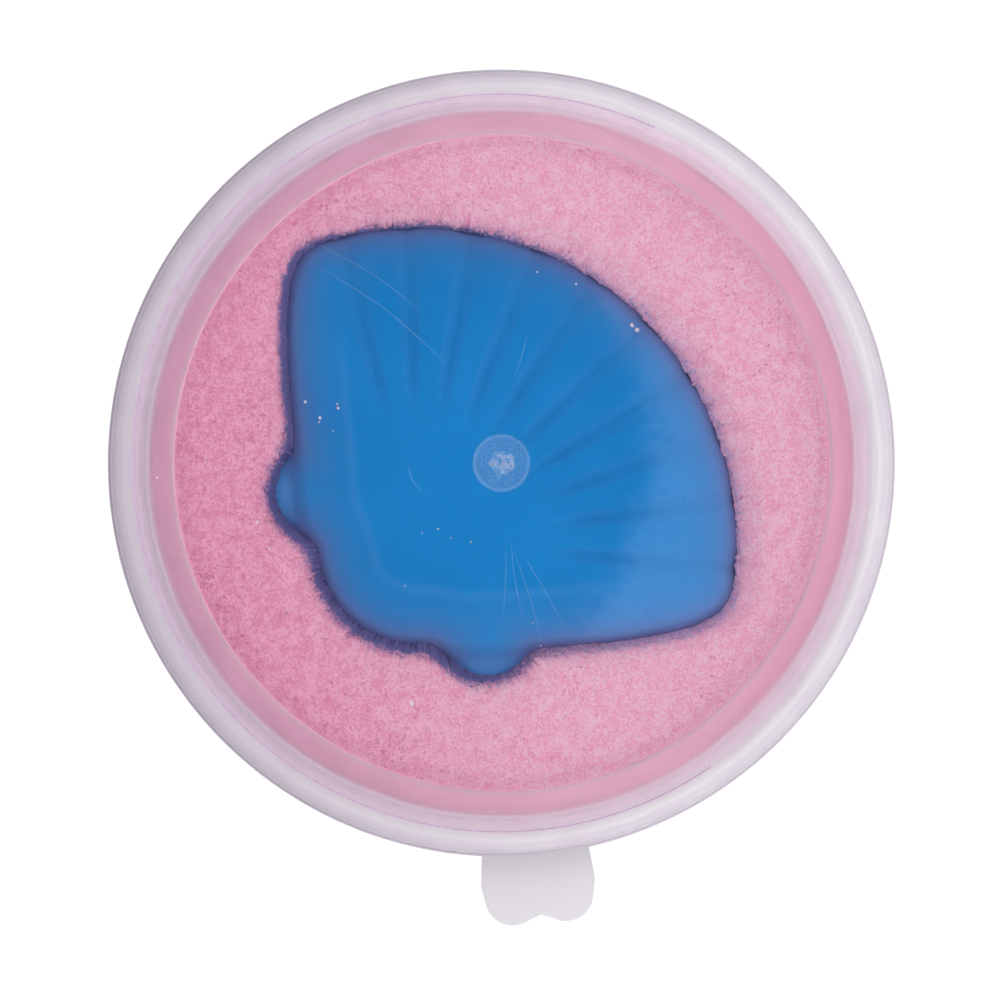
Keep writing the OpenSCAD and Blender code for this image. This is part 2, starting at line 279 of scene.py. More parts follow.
def mixed(tree, factor, a, b):
    """One colour laid over another by a factor; each of the three is a socket or a value."""
    made = node(tree, "ShaderNodeMix", data_type="RGBA")
    for socket, value in ((0, factor), (6, a), (7, b)):
        if isinstance(value, (float, list)):
            made.inputs[socket].default_value = value
        else:
            tree.links.new(value, made.inputs[socket])
    return made.outputs[2]


def stepped(tree, value, low, high, most=1.0):
    """A value as a share between two bounds, times the most it may give."""
    made = node(tree, "ShaderNodeMapRange", {"Value": value}, interpolation_type="SMOOTHSTEP")
    made.inputs["From Min"].default_value = low
    made.inputs["From Max"].default_value = high
    made.inputs["To Max"].default_value = most
    return made.outputs["Result"]


def surface(tree, shader):
    """Joins a shader to the material's output."""
    output = tree.nodes.new("ShaderNodeOutputMaterial")
    tree.links.new(shader.outputs[0], output.inputs["Surface"])


def polypropylene(name, tint, clear, roughness, turned=0.0, shaded_tint=None):
    """Moulded polypropylene, milky by a share, lilac in the mass: what touches it shows through.
    With a second, shaded tint it is painted greyer towards the left, as painted shade where less
    light gets into it, and has the soft streaks round the tub's axis that the cooling plastic leaves."""
    made, tree = new_material(name)
    where = node(tree, "ShaderNodeTexCoord").outputs["Object"]
    flow = node(tree, "ShaderNodeTexNoise", {"Vector": where}, Scale=900.0, Detail=3.0)
    rings = node(
        tree, "ShaderNodeTexWave", {"Vector": where},
        wave_type="RINGS", rings_direction="Z", Scale=620.0, Distortion=2.0, Detail=2.0,
    )
    relief = node(
        tree, "ShaderNodeMix", {"A": flow.outputs["Fac"], "B": rings.outputs["Fac"]}, Factor=turned,
    )
    bump = node(
        tree, "ShaderNodeBump", {"Height": relief.outputs[0]}, Strength=0.05 + turned, Distance=0.0001,
    )
    along = node(tree, "ShaderNodeVectorMath", {0: where}, operation="DOT_PRODUCT")
    along.inputs[1].default_value = (0.95, -0.16, 0.0)
    to_right = stepped(tree, along.outputs["Value"], -0.04, 0.022)

    # Each colour runs from painted shade on the left to the plain tint on the right.
    def tinted(*shares):
        ends = [[a * c for a, c in zip(shares, to_linear(t))] + [1.0] for t in (shaded_tint or tint, tint)]
        return mixed(tree, to_right, *ends)

    base = tinted(1.0, 1.0, 1.0)
    if shaded_tint:
        flat = node(tree, "ShaderNodeVectorMath", {0: where}, operation="MULTIPLY")
        flat.inputs[1].default_value = (1.0, 1.0, 0.0)
        reach = node(tree, "ShaderNodeVectorMath", {0: flat.outputs["Vector"]}, operation="LENGTH")
        round_it = node(
            tree, "ShaderNodeTexNoise", {"W": reach.outputs["Value"]},
            noise_dimensions="1D", Scale=1300.0, Detail=2.0,
        )
        cloud = node(tree, "ShaderNodeTexNoise", {"Vector": where}, Scale=260.0, Detail=3.0)
        both = node(
            tree, "ShaderNodeMix", {"A": round_it.outputs["Fac"], "B": cloud.outputs["Fac"]}, Factor=0.4,
        )
        streaks = (0.84, 0.8, 0.86) if clear < 0.4 else (0.94, 0.92, 0.95)
        base = mixed(tree, stepped(tree, both.outputs[0], 0.42, 0.62, 0.7), base, tinted(*streaks))
    # Painted shade on the crown: darker and pinker inside 40.4 mm from the axis, over its inner fall and the
    # plug, and darker grey from 41 to 41.8 mm, over the top of its rounded outer edge.
    if shaded_tint and clear < 0.4:
        inner = stepped(tree, reach.outputs["Value"], 0.0404, 0.039, 0.6)
        base = mixed(tree, inner, base, tinted(0.78, 0.58, 0.7))
        outer = stepped(tree, reach.outputs["Value"], 0.041, 0.0418, 0.6)
        base = mixed(tree, outer, base, tinted(0.43, 0.4, 0.46))
    shader = node(
        tree, "ShaderNodeBsdfPrincipled", {"Base Color": base, "Normal": bump.outputs["Normal"]},
        Roughness=roughness, IOR=1.49, Transmission_Weight=clear,
    )
    surface(tree, shader)
    return made


def play_sand():
    """Fine cohesive sand, dyed pink: matt, with a few pale specks and dark pores, which are painted shade
    in its pits, more of them to the left. It is painted darker to the left, painted lighter in the loose
    ring round the panel and pinker there to the right, and painted with shade and blue reflected light
    from the mould's wall beside the mould."""
    made, tree = new_material("play_sand_dyed_pink")
    where = node(tree, "ShaderNodeTexCoord").outputs["Object"]
    broad = node(tree, "ShaderNodeTexNoise", {"Vector": where}, Scale=640.0, Detail=4.0, Roughness=0.65)
    grain = node(tree, "ShaderNodeTexNoise", {"Vector": where}, Scale=3600.0, Detail=2.0, Roughness=0.6)
    across = node(tree, "ShaderNodeSeparateXYZ", {"Vector": where}).outputs["X"]
    # Painted shade: the sand darker to the left, lighter to the right.
    right = stepped(tree, across, -0.034, 0.01)
    dyed = mixed(tree, right, to_linear("#EB96B4"), to_linear("#FAADC8"))
    pale = mixed(tree, right, to_linear("#FBB7CF"), to_linear("#FFD2E2"))
    blend = node(tree, "ShaderNodeMix", {"A": grain.outputs["Fac"], "B": broad.outputs["Fac"]}, Factor=0.4)
    grains = mixed(tree, stepped(tree, blend.outputs[0], 0.4, 0.6), dyed, pale)
    # Dark pores: painted shade in small pits, more of them to the left; pale specks where the pores' noise is
    # high.
    pores = node(tree, "ShaderNodeTexNoise", {"Vector": where}, Scale=2000.0, Detail=4.0, Roughness=0.75)
    sparse = node(tree, "ShaderNodeTexNoise", {"Vector": where}, Scale=160.0, Detail=2.0)
    holes = node(tree, "ShaderNodeMath", {0: pores.outputs["Fac"]}, operation="MULTIPLY_ADD")
    holes.inputs[1].default_value = -1.0
    loose = node(tree, "ShaderNodeMath", {
        0: stepped(tree, sparse.outputs["Fac"], 0.4, 0.7, 0.06), 1: stepped(tree, across, 0.0, -0.025, 0.04),
    }, operation="ADD")
    tree.links.new(loose.outputs[0], holes.inputs[2])
    pit_shaded = mixed(tree, stepped(tree, holes.outputs[0], -0.36, -0.29, 0.7), grains, to_linear("#C8688E"))
    bright = stepped(tree, pores.outputs["Fac"], 0.7, 0.76, 0.6)
    speckled = mixed(tree, bright, pit_shaded, to_linear("#FFE6EB"))
    flat = node(tree, "ShaderNodeVectorMath", {0: where}, operation="MULTIPLY")
    flat.inputs[1].default_value = (1.0, 1.0, 0.0)
    reach = node(tree, "ShaderNodeVectorMath", {0: flat.outputs["Vector"]}, operation="LENGTH")
    # Painted light: the sand under the ring round the panel lighter, and pinker to the right.
    outside = stepped(tree, reach.outputs["Value"], 0.0350, 0.0356, 0.4)
    edge = stepped(tree, across, 0.012, 0.034)
    speckled = mixed(tree, outside, speckled, mixed(tree, edge, to_linear("#FFD2E2"), to_linear("#FFACD0")))
    # Beside the mould: painted shade and blue reflected light, darker to the left.
    beside = node(tree, "ShaderNodeAttribute", attribute_name="shade_by_mould").outputs["Fac"]
    ragged = node(tree, "ShaderNodeMath", {0: grain.outputs["Fac"], 2: beside}, operation="MULTIPLY_ADD")
    ragged.inputs[1].default_value = 1.4
    far = stepped(tree, across, -0.004, 0.02)
    blue_lit = mixed(tree, far, to_linear("#56629E"), to_linear("#A29CC8"))
    dark = mixed(tree, stepped(tree, ragged.outputs[0], 1.12, 1.45, 0.92), speckled, blue_lit)
    soft = node(tree, "ShaderNodeMath", {0: beside}, operation="MULTIPLY")
    soft.inputs[1].default_value = 0.6
    shade = mixed(tree, far, to_linear("#64629A"), to_linear("#A890C0"))
    tinted = mixed(tree, soft.outputs[0], dark, shade)
    bump = node(
        tree, "ShaderNodeBump", {"Height": grain.outputs["Fac"]}, Strength=0.7, Distance=0.00012,
    )
    shader = node(
        tree, "ShaderNodeBsdfPrincipled",
        {"Base Color": tinted, "Normal": bump.outputs["Normal"]}, Roughness=0.95,
    )
    surface(tree, shader)
    return made


def plain_grains(name, tint, other):
    """Small loose bits in two close tints, matt."""
    made, tree = new_material(name)
    where = node(tree, "ShaderNodeTexCoord").outputs["Object"]
    grain = node(tree, "ShaderNodeTexNoise", {"Vector": where}, Scale=3000.0, Detail=2.0)
    tints = mixed(tree, stepped(tree, grain.outputs["Fac"], 0.42, 0.58), to_linear(tint), to_linear(other))
    bump = node(tree, "ShaderNodeBump", {"Height": grain.outputs["Fac"]}, Strength=0.4, Distance=0.0001)
    surface(tree, node(
        tree, "ShaderNodeBsdfPrincipled", {"Base Color": tints, "Normal": bump.outputs["Normal"]},
        Roughness=0.8,
    ))
    return made


def mould_plastic():
    """Polystyrene in a strong blue, injection moulded, with a soft gloss. It is painted paler blue where the
    lid doesn't press on it, as painted haze drawn patchy like dust, with a painted highlight along the
    side ridge; painted shade darkens the grooves and the edge away from the right, the edge has a violet
    painted shade and, on the right, a pale violet painted light."""
    made, tree = new_material("polystyrene_moulded_blue")
    where = node(tree, "ShaderNodeTexCoord").outputs["Object"]
    flow = node(tree, "ShaderNodeTexNoise", {"Vector": where}, Scale=120.0, Detail=3.0)
    fine = node(tree, "ShaderNodeTexNoise", {"Vector": where}, Scale=2600.0, Detail=2.0)
    drift = stepped(tree, flow.outputs["Fac"], 0.3, 0.7)
    plain = mixed(tree, drift, to_linear("#0C8CD5"), to_linear("#1291DB"))
    # Painted haze and highlight: paler blue where the lid stands off the shell, drawn patchy like dust.
    haze_and_highlight = node(tree, "ShaderNodeAttribute", attribute_name="haze_and_highlight").outputs["Fac"]
    specks = stepped(tree, fine.outputs["Fac"], 0.3, 0.7)
    patchy = node(tree, "ShaderNodeMath", {0: haze_and_highlight, 1: specks}, operation="MULTIPLY")
    thick = node(tree, "ShaderNodeMix", {"A": haze_and_highlight, "B": patchy.outputs[0]}, Factor=0.3)
    dusty = mixed(tree, thick.outputs[0], plain, to_linear("#5AAAF0"))
    # Painted shade: darker in the grooves and towards the edge.
    hollow = node(tree, "ShaderNodeAttribute", attribute_name="hollow").outputs["Fac"]
    lined = mixed(tree, hollow, dusty, to_linear("#06609F"))
    # Violet painted shade near the shell's edge.
    edge_shade = node(tree, "ShaderNodeAttribute", attribute_name="edge_shade").outputs["Fac"]
    edge_shaded = mixed(tree, edge_shade, lined, to_linear("#7A6A9C"))
    # Pale violet painted light near the edge on the right.
    edge_light = node(tree, "ShaderNodeAttribute", attribute_name="edge_light").outputs["Fac"]
    edge_lit = mixed(tree, edge_light, edge_shaded, to_linear("#B9AAD8"))
    bump = node(tree, "ShaderNodeBump", {"Height": flow.outputs["Fac"]}, Strength=0.05, Distance=0.0002)
    shader = node(
        tree, "ShaderNodeBsdfPrincipled", {"Base Color": edge_lit, "Normal": bump.outputs["Normal"]},
        Roughness=0.3, IOR=1.5, Specular_IOR_Level=0.15,
    )
    surface(tree, shader)
    return made


def finished(name, bm, materials, body, nodes=(), smooth_angle=35):
    """Turns a bmesh into a piece in its place: shaded, dressed, riding on its body."""
    mesh = bpy.data.meshes.new(name)
    bm.to_mesh(mesh)
    bm.free()
    mesh.shade_smooth()
    if smooth_angle is not None:
        mesh.set_sharp_from_angle(angle=math.radians(smooth_angle))
    for material in materials:
        mesh.materials.append(material)
    piece = bpy.data.objects.new(name, mesh)
    bpy.context.scene.collection.objects.link(piece)
    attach(piece, body)
    if nodes:
        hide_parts(*nodes)
    return piece


def spun(profile, steps=256):
    """A solid of revolution about the Z axis from a closed profile of radius and height."""
    bm = bmesh.new()
    points = [bm.verts.new((x * MM, 0.0, z * MM)) for x, z in profile]
    edges = [bm.edges.new((a, b)) for a, b in zip(points, points[1:])]
    bmesh.ops.spin(
        bm, geom=points + edges, cent=(0, 0, 0), axis=(0, 0, 1), angle=math.tau, steps=steps,
        use_merge=True,
    )
    bmesh.ops.remove_doubles(bm, verts=bm.verts, dist=1e-7)
    bmesh.ops.recalc_face_normals(bm, faces=bm.faces)
    return bm


def skinned(rings, shares=None):
    """A closed skin through rings of points in millimetres; the first and last shrink to a point.
    Named shares, one for each point, become attributes that a material can read."""
    count = len(rings[0])
    bm = bmesh.new()
    bmesh.ops.create_grid(bm, x_segments=count, y_segments=len(rings) - 1, size=1.0)
    layers = {name: bm.verts.layers.float.new(name) for name in shares or {}}
    bm.verts.ensure_lookup_table()
    for row, ring in enumerate(rings):
        first = row * (count + 1)
        for i in range(count + 1):
            x, y, z = ring[i % count]
            bm.verts[first + i].co = (x * MM, y * MM, z * MM)
            for name, layer in layers.items():
                bm.verts[first + i][layer] = float(shares[name][row][i % count])
    bmesh.ops.remove_doubles(bm, verts=bm.verts, dist=1e-7)
    bmesh.ops.recalc_face_normals(bm, faces=bm.faces)
    return bm


def wall_r(z):
    """Inside radius of the tub's wall at the height z."""
    return FLOOR_R + (MOUTH_R - FLOOR_R) * (z - FLOOR_TOP) / (LEDGE_Z - FLOOR_TOP)


def tub_profile():
    """The tub's section, from the middle of its underside round to the middle of its floor."""
    foot_r = wall_r(FLOOR_TOP) + TUB_WALL
    foot_in = foot_r - FOOT_FILLET - FOOT_W
    ring_r = wall_r(RING_TOP) + TUB_WALL + RING_REACH
    bead_z = TUB_H - RIM_DEPTH / 2
    corner_x = wall_r(FLOOR_TOP + CORNER_FILLET) - CORNER_FILLET
    return (
        [(0, FOOT_RECESS - FOOT_GATE_H), (FOOT_GATE_R, FOOT_RECESS - FOOT_GATE_H)]
        + [(FOOT_GATE_R, FOOT_RECESS), (foot_in - FOOT_RECESS, FOOT_RECESS), (foot_in, 0)]
        + arc(foot_r - FOOT_FILLET, FOOT_FILLET, FOOT_FILLET, -90, 0, 10)
        + [(wall_r(RING_LOW) + TUB_WALL, RING_LOW)]
        + arc(ring_r - EDGE, RING_LOW + EDGE, EDGE, -90, 0, 5)
        + arc(ring_r - EDGE, RING_TOP - EDGE, EDGE, 0, 90, 5)
        + [(RIM_OUT, RING_TOP), (RIM_OUT, bead_z - BEAD_H / 2), (RIM_OUT + RIM_BEAD, bead_z)]
        + [(RIM_OUT, bead_z + BEAD_H / 2)]
        + arc(RIM_OUT - EDGE, TUB_H - EDGE, EDGE, 0, 90, 5)
        + arc(RIM_IN + EDGE, TUB_H - EDGE, EDGE, 90, 180, 5)
        + [(RIM_IN, LEDGE_Z), (MOUTH_R, LEDGE_Z)]
        + arc(corner_x, FLOOR_TOP + CORNER_FILLET, CORNER_FILLET, 0, -90, 10)
        + [(0, FLOOR_TOP)]
    )


def lid_profile():
    """The lid's section, from the middle of its underside round to the middle of its top."""
    bead_z = TUB_H - RIM_DEPTH / 2 - BEAD_H - LID_CLEAR
    return (
        [(0, PANEL_LOW)] + arc(PANEL_R, PANEL_LOW + LID_WALL / 2, LID_WALL / 2, -90, 0, 6)
        + arc(PANEL_R + LID_WALL / 2 + STEP_ROUND, PLUG_LOW - STEP_ROUND, STEP_ROUND, 180, 90, 4)
        + arc(PLUG_R - PLUG_EDGE, PLUG_LOW + PLUG_EDGE, PLUG_EDGE, -90, 0, 6)
        + [(PLUG_R, TUB_H), (SKIRT_IN, TUB_H), (SKIRT_IN, bead_z + BEAD_H / 2)]
        + [(SKIRT_IN - LID_BEAD, bead_z), (SKIRT_IN, bead_z - BEAD_H / 2), (SKIRT_IN, LIP_LOW)]
        + arc(LIP_R - EDGE, LIP_LOW + EDGE, EDGE, -90, 0, 5)
        + arc(LIP_R - EDGE, LIP_LOW + LIP_T - EDGE, EDGE, 0, 90, 5)
        + [(SKIRT_OUT, LIP_LOW + LIP_T + EDGE)]
        + arc(SKIRT_OUT - LID_WALL, CROWN_TOP - LID_WALL, LID_WALL, 0, 90, 8)
        + fall(PLUG_R + LID_WALL, PLUG_R - LID_WALL - CROWN_FOOT, CROWN_TOP, RING_FLOOR_TOP, 24)
        + [(RING_SPLIT, RING_FLOOR_TOP)]
        + arc(PANEL_R + STEP_ROUND * 2, RING_FLOOR_TOP - STEP_ROUND, STEP_ROUND, 90, 180, 4)
        + arc(PANEL_R, PANEL_TOP + STEP_ROUND, STEP_ROUND, 0, -90, 4)
        + fall(DIMPLE_R + DIMPLE_EDGE, DIMPLE_R - DIMPLE_EDGE, PANEL_TOP, PANEL_TOP - DIMPLE_D, 8)
        + [((DIMPLE_R - DIMPLE_EDGE) * (1 - k / 32), PANEL_TOP - DIMPLE_D) for k in range(1, 32)]
        + [(0, PANEL_TOP - DIMPLE_D)]
    )


def make_tub(plastic):
    """The tub: one revolved shell."""
    return finished("tub_shell", spun(tub_profile()), [plastic], "tub", ["tub"])


def tab_outline():
    """The heart's outline: a waist at the lip, two lobes and a notch."""
    tip = LIP_R + TAB_REACH
    bulge = TAB_LOBE_SIDE + TAB_LOBE_R + EDGE
    half = [(TAB_ROOT, SKIRT_OUT - EDGE), (bulge, LIP_R + TAB_REACH * 0.4)]
    half += arc(TAB_LOBE_SIDE, tip - TAB_LOBE_R, TAB_LOBE_R, 10, 105, 12)
    return half + [(0, tip - TAB_NOTCH)] + [(-x, y) for x, y in reversed(half)]


def make_lid(materials):
    """The lid: a revolved shell with a polished panel, a satin ring around it, its gate mark, a line of
    painted shade at the crown's foot, a painted highlight on the panel's step and its pull tab."""
    turned = spun(lid_profile())
    for vert in turned.verts:
        r = vert.co.xy.length / MM
        if r < DIMPLE_R and vert.co.z > (PANEL_LOW + LID_WALL / 2) * MM:
            rings = 0.002 * math.sin(r * 13 + 3 * rough(vert.co / MM, 2.0))
            stub = float(1 - ramp(r + 0.5 * rough(vert.co / MM, 0.7), GATE_R - 0.3, GATE_R + 0.1))
            vert.co.z += (rings + stub * GATE_H * (0.8 + 1.2 * rough(vert.co / MM, 0.5))) * MM
    for face in turned.faces:
        middle = face.calc_center_median()
        r, top = middle.xy.length / MM, middle.z > (PANEL_LOW + LID_WALL / 2) * MM
        if r < PANEL_R + STEP_ROUND / 2:
            face.material_index = POLISHED
        elif r < RING_BANDS[-1]:
            face.material_index = (SATIN, HAZY, MILKY, WHITISH)[sum(r > edge for edge in RING_BANDS)]
        # A thin dark line of painted shade in the crease of the crown, on all but its right side.
        elif (
            abs(r - SHADE_LINE_R) < SHADE_LINE_W / 2
            and middle.z > RING_FLOOR_TOP * MM and middle.x < middle.xy.length / 2
        ):
            face.material_index = SHADE_LINE
        # A painted highlight: the faces round the panel's step take a paler, milkier plastic.
        if top and PANEL_R < r < PANEL_R + STEP_W:
            face.material_index = STEP
        if top and r < DIMPLE_R:
            scuff = math.sin(r * 15 + 4 * rough(middle / MM, 2.0)) + 1.5 * rough(middle / MM, 1.1)
            face.material_index = SCUFFED if scuff > 0.6 and 1.3 < r < DIMPLE_R - DIMPLE_EDGE else GATE
            if r + 0.6 * rough(middle / MM, 0.8) < GATE_R:
                face.material_index = TORN if rough(middle / MM, 0.5) + r * 0.5 > 0.15 else GATE
    shell = finished("lid_shell", turned, materials, "lid", ["lid"])
    bm = bmesh.new()
    face = bm.faces.new([bm.verts.new((x * MM, -y * MM, LIP_LOW * MM)) for x, y in tab_outline()])
    grown = bmesh.ops.extrude_face_region(bm, geom=[face])
    top = [v for v in grown["geom"] if isinstance(v, bmesh.types.BMVert)]
    bmesh.ops.translate(bm, verts=top, vec=(0, 0, TAB_T * MM))
    bmesh.ops.recalc_face_normals(bm, faces=bm.faces)
    rims = [e for e in bm.edges if abs(e.verts[0].co.z - e.verts[1].co.z) < 1e-7]
    bmesh.ops.bevel(
        bm, geom=rims, offset=TAB_EASE * MM, offset_type="OFFSET", segments=3, profile=0.5,
        affect="EDGES", material=-1, clamp_overlap=True,
    )
    mesh = bpy.data.meshes.new("pull_tab")
    bm.to_mesh(mesh)
    bm.free()
    tab = bpy.data.objects.new("pull_tab", mesh)
    bpy.context.scene.collection.objects.link(tab)
    joined = shell.modifiers.new("tab", "BOOLEAN")
    joined.operation = "UNION"
    joined.solver = "EXACT"
    joined.object = tab
    ready = bpy.data.meshes.new_from_object(
        shell.evaluated_get(bpy.context.evaluated_depsgraph_get())
    )
    shell.modifiers.clear()
    shell.data = ready
    ready.shade_smooth()
    ready.set_sharp_from_angle(angle=math.radians(35))
    bpy.data.objects.remove(tab)
    for face in ready.polygons:
        if face.center.xy.length > (LIP_R + EDGE) * MM:
            face.material_index = TAB
    return shell


def off_axis(turn):
    """An angle about the hinge in degrees as a value from 0 to 180, the same on both sides."""
    return np.abs((turn + 180.0) % 360.0 - 180.0)


def body_r(turn):
    """Radius of the fan, its sides and the tail, without the ears."""
    off = off_axis(turn)
    side = SIDE_REACH / np.maximum(np.cos(np.radians(off - SIDE_ANGLE - 90)), LEAST_COS)
    back = ramp(off, TAIL_FROM, TAIL_TO)
    return soft_min(FAN_R, side, CORNER_ROUND) * (1 - back) + TAIL_R * back


def from_outline(x, y, edge_x, edge_y, inside):
    """Distance of points from a closed outline, less than 0 where they aren't inside it."""
    away = np.full(np.shape(x), 2 * FAN_R)
    for ax, ay, bx, by in zip(edge_x, edge_y, np.roll(edge_x, -1), np.roll(edge_y, -1)):
        dx, dy = bx - ax, by - ay
        share = np.clip(((x - ax) * dx + (y - ay) * dy) / (dx * dx + dy * dy), 0, 1)
        away = np.minimum(away, np.hypot(x - ax - share * dx, y - ay - share * dy))
    return np.where(inside, away, -away)


def core_radii(turns):
    """Radii of the body's core, drawn in from its outline by the radius of its corners."""
    x, y = np.cos(np.radians(turns)), np.sin(np.radians(turns))
    reach = body_r(turns)
    low, high = np.full(len(turns), 1.0), reach.copy()
    for _ in range(12):
        middle = (low + high) / 2
        depth = from_outline(middle * x, middle * y, reach * x, reach * y, True)
        low, high = np.where(depth > CORNER_R, middle, low), np.where(depth > CORNER_R, high, middle)
    return (low + high) / 2


def body_depth(x, y):
    """How far inside the body's outline points lie, about the hinge; less than 0 outside it."""
    turns = np.radians(CORE_TURNS)
    turned = np.degrees(np.arctan2(y, x)) % 360
    inside = np.hypot(x, y) < np.interp(turned, [*CORE_TURNS, 360], [*CORE, CORE[0]])
    return CORNER_R + from_outline(x, y, CORE * np.cos(turns), CORE * np.sin(turns), inside)


def ear_depth(x, y):
    """How far inside an ear points lie."""
    return EAR_R - np.hypot(x + EAR_BACK, np.abs(y) - EAR_SIDE)


def rays(count):
    """Angles of rays from the hinge, in degrees."""
    return np.arange(count) * 360.0 / count


def inset_radii(turns, insets):
    """Radii on each ray where the mould is each of some depths inside its open edge."""
    x, y = np.cos(np.radians(turns)), np.sin(np.radians(turns))
    wanted = np.array(insets, dtype=float)[:, None]
    low = np.full((len(insets), len(turns)), TAIL_R / 4)
    high = np.full_like(low, FAN_R + EAR_ROUND)
    off = off_axis(turns)
    ear_turn = 90 + math.degrees(math.atan2(EAR_BACK, EAR_SIDE))
    high = np.minimum(high, np.where(off < ear_turn - 10, high, EAR_SIDE + EAR_R + EAR_ROUND + 1))
    for _ in range(14):
        middle = (low + high) / 2
        depth = soft_max(body_depth(middle * x, middle * y), ear_depth(middle * x, middle * y), EAR_ROUND)
        low, high = np.where(depth > wanted, middle, low), np.where(depth > wanted, high, middle)
    return (low + high) / 2


def groove_at(r, turn):
    """Depth of the groove nearest a point: none at the smooth hinge."""
    off = off_axis(turn)
    line = np.minimum(np.floor(off / GROOVE_PITCH), GROOVES / 2 - 1) + 0.5
    aside = r * np.sin(np.radians(off - line * GROOVE_PITCH)) / GROOVE_W
    aside = aside * GROOVE_FULL / np.maximum(r, GROOVE_FULL)
    shape = 0.75 * np.exp(-aside * aside) + 0.25 * np.exp(-aside * aside / 9)
    return GROOVE_DEPTH * ramp(r, GROOVE_FROM, GROOVE_DEEP) * shape


def quarter_round(depth, width, height):
    """How far a rounded shoulder lies below its top at a depth in from its foot."""
    share = np.clip(depth / width, 0.0, 1.0)
    return height * (1 - np.sqrt(1 - (1 - share) ** 2))


def shell_z(r, turn, inset, grooved=1.0):
    """Height of the shell at points about the hinge, for a surface inset from the outside."""
    x, y = r * np.cos(np.radians(turn)), r * np.sin(np.radians(turn))
    body = body_depth(x, y) - inset - BAND_STEP
    ear = ear_depth(x, y) - inset - BAND_STEP
    cut = grooved * groove_at(r, turn) * ramp(body, 0, WALL_RUN)
    middle = FAN_R / 3
    fall = CROWN_FALL * (np.hypot(x - middle, y) / (FAN_R - middle)) ** 2
    ridge = RIDGE_H * ramp(off_axis(turn), RIDGE_FROM, RIDGE_TO)
    ridge = ridge * (1 - ramp(body, DOME_W - SHOULDER * 2, DOME_W))
    dome = quarter_round(body - WALL_RUN / 2 + DOME_CUT, DOME_W + DOME_CUT, DOME_H)
    crown = MOULD_H - fall - cut - ridge - dome
    lobe = EAR_H - quarter_round(ear - WALL_RUN / 2, EAR_R, EAR_DOME_H)
    top = lobe + (crown - lobe) * ramp(body, -EAR_STEP_W / 2, EAR_STEP_W / 2)
    rise = (MOULD_H - BAND_H) / WALL_RUN
    wall = BAND_H + (soft_max(body, ear, EAR_ROUND) - cut / 2) * rise
    return np.maximum(soft_min(wall, top, SHOULDER) - inset, 0.0)


def placed(r, turn, z):
    """Points about the hinge in their place in the sand: an array of x, y and z."""
    whole = np.radians(np.asarray(turn) + SHELL_TURN)
    x, y = HINGE.x + r * np.cos(whole), HINGE.y + r * np.sin(whole)
    return np.stack(np.broadcast_arrays(x, y, SEAT_Z + np.asarray(z, dtype=float)), axis=-1)


def about_hinge(ring):
    """Points in their place in the sand, back to x and y about the hinge."""
    x, y = ring[:, 0] - HINGE.x, ring[:, 1] - HINGE.y
    turn = math.radians(SHELL_TURN)
    return x * math.cos(turn) + y * math.sin(turn), y * math.cos(turn) - x * math.sin(turn)


def mould_shares(rings):
    """How much painted haze and highlight the mould's points get, how much painted shade from the grooves
    and from the edge away from the right, how much violet painted shade near the edge and how much pale
    painted light near it on the right."""
    haze_and_highlight, hollow, edge_shade, edge_light = [], [], [], []
    for ring in rings:
        x, y = about_hinge(ring)
        inside = soft_max(body_depth(x, y), ear_depth(x, y), EAR_ROUND)
        # Painted haze: paler away from where the lid presses and on the lower parts; painted highlight along
        # the side ridge.
        off = np.hypot(ring[:, 0] - PATCH[0], ring[:, 1] - PATCH[1])
        off += [1.5 * rough(p, 4.0) + 0.9 * rough(p, 1.0, 3) for p in ring]
        apart = 0.68 * ramp(off, PATCH_R - 2.0, PATCH_R + 3.0)
        turn = np.degrees(np.arctan2(y, x))
        behind = ramp(off_axis(turn), 52, 66)
        ridge = 0.22 * np.exp(-(((inside - RIDGE_IN) / 0.55) ** 2)) + 0.14 * ramp(RIDGE_IN - inside, 0, 3)
        under = PANEL_LOW - ring[:, 2]
        low = 0.8 * ramp(under, 1.2, 3.0) * (1 - 0.8 * ramp(under, 4.5, 6.0))
        haze_and_highlight.append(np.clip(np.maximum(apart, low) + behind * ridge, 0, 1))
        depth = groove_at(np.hypot(x, y), turn) / GROOVE_DEPTH
        hollow.append(0.22 * np.clip(depth, 0, 1) * (1 - 0.6 * ramp(np.hypot(x, y), 18, 30)))
        on_ear = 1 - ramp(body_depth(x, y), -1.5, 0.5)
        right = np.maximum(np.cos(np.radians(turn + SHELL_TURN + 15)), 0)
        edge = np.maximum(inside - 0.45, 0)
        # Painted shade towards the edge, except on the ears and to the right.
        hollow[-1] += (1 - on_ear) * (1 - right) * (0.3 * np.exp(-edge / 6) + 0.35 * np.exp(-edge / 1.9))
        # Near the edge: violet painted shade, and pale violet painted light on the right.
        near_edge = (1 - ramp(under, 4.0, 5.0)) * np.exp(-edge / 1.6)
        edge_shade.append((0.8 - 0.6 * on_ear) * near_edge)
        edge_light.append(0.04 * right * near_edge)
    return {"haze_and_highlight": haze_and_highlight, "hollow": hollow, "edge_shade": edge_shade, "edge_light": edge_light}


def surface_rings(turns, start, inset, wall_rings, crown_rings):
    """Rings up a shell surface, from near its open edge to the hinge: closer together at the wall."""
    reach = WALL_RUN + SHOULDER / 2
    radii = inset_radii(turns, [start + reach * (k + 1) / wall_rings for k in range(wall_rings)])
    shares = [((k + 1) / crown_rings) ** 1.25 for k in range(crown_rings)]
    radii = np.concatenate([radii, [radii[-1] * (1 - share) for share in shares]])
    return [placed(r, turns, shell_z(r, turns, inset)) for r in radii]


